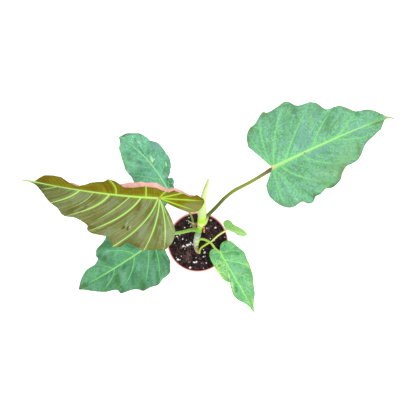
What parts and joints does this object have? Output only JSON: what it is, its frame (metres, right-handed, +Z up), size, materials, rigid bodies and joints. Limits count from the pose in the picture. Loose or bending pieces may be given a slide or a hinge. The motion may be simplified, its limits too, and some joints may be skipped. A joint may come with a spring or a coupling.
{
  "type": "potted philodendron corsinianum",
  "caption": "Potted houseplant: heart-shaped wavy leaves on long round petioles from a short leaning stem with a pale sheath, in a round tapered nursery pot of bark mix.",
  "frame": {"origin": "centre of the pot's flat underside", "axes": "+Z up, +Y towards the back of the plant, away from the viewer, +X to the viewer's right"},
  "size_m": [0.5813, 0.3111, 0.2499],
  "materials": {
    "pot_plastic": "thin moulded salmon-pink plastic, satin",
    "bark_mix": "moist dark bark and fibre with white perlite grains",
    "stem": "smooth lime-green stem with brown node rings, paler and scarred at the soil",
    "sheath": "pale cream-green, thin and slightly see-through",
    "petiole": "smooth waxy olive to lime green",
    "blade_green": "satin teal-green with raised lighter veins",
    "blade_olive": "olive-brown underside with lime veins, green upper face"
  },
  "bodies": {
    "root": {"pot": "pot_plastic", "soil": "bark_mix", "stem": "stem", "sheath": "sheath", "leaf_upper_right": "blade_green", "petiole_upper_right": "petiole", "leaf_folded": "blade_olive", "petiole_folded": "petiole", "leaf_upper_left": "blade_green", "petiole_upper_left": "petiole", "leaf_lower_left": "blade_green", "petiole_lower_left": "petiole", "leaf_lower_right": "blade_green", "petiole_lower_right": "petiole", "leaf_small": "blade_green", "petiole_small": "petiole"}
  },
  "joints": []
}
